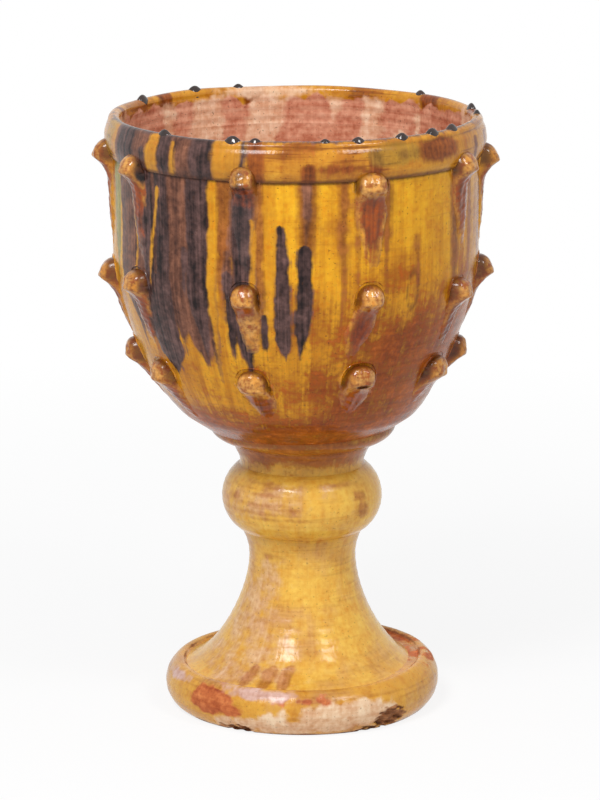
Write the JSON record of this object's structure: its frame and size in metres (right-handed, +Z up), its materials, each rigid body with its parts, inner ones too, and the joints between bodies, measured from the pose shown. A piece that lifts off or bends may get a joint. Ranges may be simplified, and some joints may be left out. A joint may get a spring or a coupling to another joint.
{
  "type": "footed planter",
  "caption": "Goblet-shaped glazed earthenware planter: a deep bowl with a rolled rim and rows of branch stubs on a hollow stem with a knop and a rolled foot.",
  "frame": {"origin": "on the ground under the axis of the bowl, at the bottom centre of the object's box", "axes": "+Z up from the foot to the rim; the side that the picture shows faces -Y; +X to its right"},
  "size_m": [0.3865, 0.3725, 0.5755],
  "materials": {
    "bowl_glaze": "glossy lead glaze, yellow ochre with dark manganese runs outside, bare clay inside",
    "rim_glaze": "glossy lead glaze, amber with dark runs",
    "stub_glaze": "glossy lead glaze, amber with brown in the hollows",
    "pedestal_glaze": "glossy lead glaze, yellow ochre with brown brush lines",
    "foot_glaze": "glossy lead glaze, yellow ochre, worn to bare clay along the base",
    "drop_glaze": "glassy beads of dark manganese glaze"
  },
  "bodies": {
    "root": {"foot_ring": "foot_glaze", "stem": "pedestal_glaze", "knop": "pedestal_glaze", "neck": "pedestal_glaze", "joint_collar": "pedestal_glaze", "bowl": "bowl_glaze", "rim_roll": "rim_glaze", "upper_stub_01": "stub_glaze", "middle_stub_01": "stub_glaze", "lower_stub_01": "stub_glaze", "upper_stub_02": "stub_glaze", "middle_stub_02": "stub_glaze", "lower_stub_02": "stub_glaze", "upper_stub_03": "stub_glaze", "middle_stub_03": "stub_glaze", "lower_stub_03": "stub_glaze", "upper_stub_04": "stub_glaze", "middle_stub_04": "stub_glaze", "lower_stub_04": "stub_glaze", "upper_stub_05": "stub_glaze", "middle_stub_05": "stub_glaze", "lower_stub_05": "stub_glaze", "upper_stub_06": "stub_glaze", "middle_stub_06": "stub_glaze", "lower_stub_06": "stub_glaze", "upper_stub_07": "stub_glaze", "middle_stub_07": "stub_glaze", "lower_stub_07": "stub_glaze", "upper_stub_08": "stub_glaze", "middle_stub_08": "stub_glaze", "lower_stub_08": "stub_glaze", "upper_stub_09": "stub_glaze", "middle_stub_09": "stub_glaze", "lower_stub_09": "stub_glaze", "upper_stub_10": "stub_glaze", "middle_stub_10": "stub_glaze", "lower_stub_10": "stub_glaze", "rim_drop_01": "drop_glaze", "rim_drop_02": "drop_glaze", "rim_drop_03": "drop_glaze", "rim_drop_04": "drop_glaze", "rim_drop_05": "drop_glaze", "rim_drop_06": "drop_glaze", "rim_drop_07": "drop_glaze", "rim_drop_08": "drop_glaze", "rim_drop_09": "drop_glaze", "rim_drop_10": "drop_glaze", "rim_drop_11": "drop_glaze", "rim_drop_12": "drop_glaze", "rim_drop_13": "drop_glaze", "rim_drop_14": "drop_glaze"}
  },
  "joints": []
}
